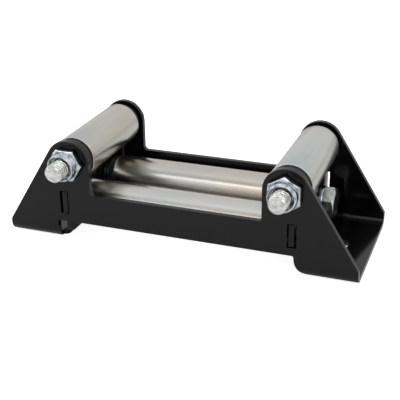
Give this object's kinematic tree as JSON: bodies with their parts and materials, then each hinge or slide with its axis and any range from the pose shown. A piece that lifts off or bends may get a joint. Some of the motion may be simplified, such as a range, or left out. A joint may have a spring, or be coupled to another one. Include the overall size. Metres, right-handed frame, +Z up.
{
  "type": "roller fairlead",
  "caption": "Winch roller fairlead: a folded steel channel whose long and short free-turning rollers frame a window that guides the winch rope.",
  "frame": {"origin": "bottom centre of the whole part's box: on the mounting plane, midway along the channel, 8.5 mm nearer to the side of the lock nuts than the channel's own middle plane", "axes": "+X along the channel and the long rollers, +Y from the lock-nut side to the bolt-head side along the short rollers, +Z up from the mounting face through the rope window"},
  "size_m": [0.318, 0.1596, 0.094],
  "materials": {
    "paint": "gloss black paint",
    "roller_zinc": "turned, zinc plated, satin",
    "fastener_zinc": "bright zinc plated",
    "nylon": "satin black nylon"
  },
  "bodies": {
    "carrier": {"channel_frame": "paint", "left_cross_plate": "paint", "right_cross_plate": "paint", "near_long_thrust_washer_left": "fastener_zinc", "near_long_flat_washer_left": "fastener_zinc", "near_long_thrust_washer_right": "fastener_zinc", "near_long_flat_washer_right": "fastener_zinc", "near_long_bolt": "fastener_zinc", "near_long_nut": "fastener_zinc", "far_long_thrust_washer_left": "fastener_zinc", "far_long_flat_washer_left": "fastener_zinc", "far_long_thrust_washer_right": "fastener_zinc", "far_long_flat_washer_right": "fastener_zinc", "far_long_bolt": "fastener_zinc", "far_long_nut": "fastener_zinc", "left_short_thrust_washer_near": "fastener_zinc", "left_short_thrust_washer_far": "fastener_zinc", "left_short_bolt": "fastener_zinc", "left_short_nut": "fastener_zinc", "right_short_thrust_washer_near": "fastener_zinc", "right_short_thrust_washer_far": "fastener_zinc", "right_short_bolt": "fastener_zinc", "right_short_nut": "fastener_zinc"},
    "near_long_roller_set": {"near_long_roller": "roller_zinc", "near_long_bush_left": "nylon", "near_long_bush_right": "nylon"},
    "far_long_roller_set": {"far_long_roller": "roller_zinc", "far_long_bush_left": "nylon", "far_long_bush_right": "nylon"},
    "left_short_roller_set": {"left_short_roller": "roller_zinc", "left_short_bush_near": "nylon", "left_short_bush_far": "nylon"},
    "right_short_roller_set": {"right_short_roller": "roller_zinc", "right_short_bush_near": "nylon", "right_short_bush_far": "nylon"}
  },
  "joints": [
    {"name": "near_long_spin", "type": "hinge", "parent": "carrier", "child": "near_long_roller_set", "pos_m": [0, -0.02235, 0.0282], "axis": [1, 0, 0], "continuous": true},
    {"name": "far_long_spin", "type": "hinge", "parent": "carrier", "child": "far_long_roller_set", "pos_m": [0, 0.03935, 0.0282], "axis": [1, 0, 0], "continuous": true},
    {"name": "left_short_spin", "type": "hinge", "parent": "carrier", "child": "left_short_roller_set", "pos_m": [-0.0971, 0.0085, 0.0743], "axis": [0, 1, 0], "continuous": true},
    {"name": "right_short_spin", "type": "hinge", "parent": "carrier", "child": "right_short_roller_set", "pos_m": [0.0971, 0.0085, 0.0743], "axis": [0, 1, 0], "continuous": true}
  ]
}
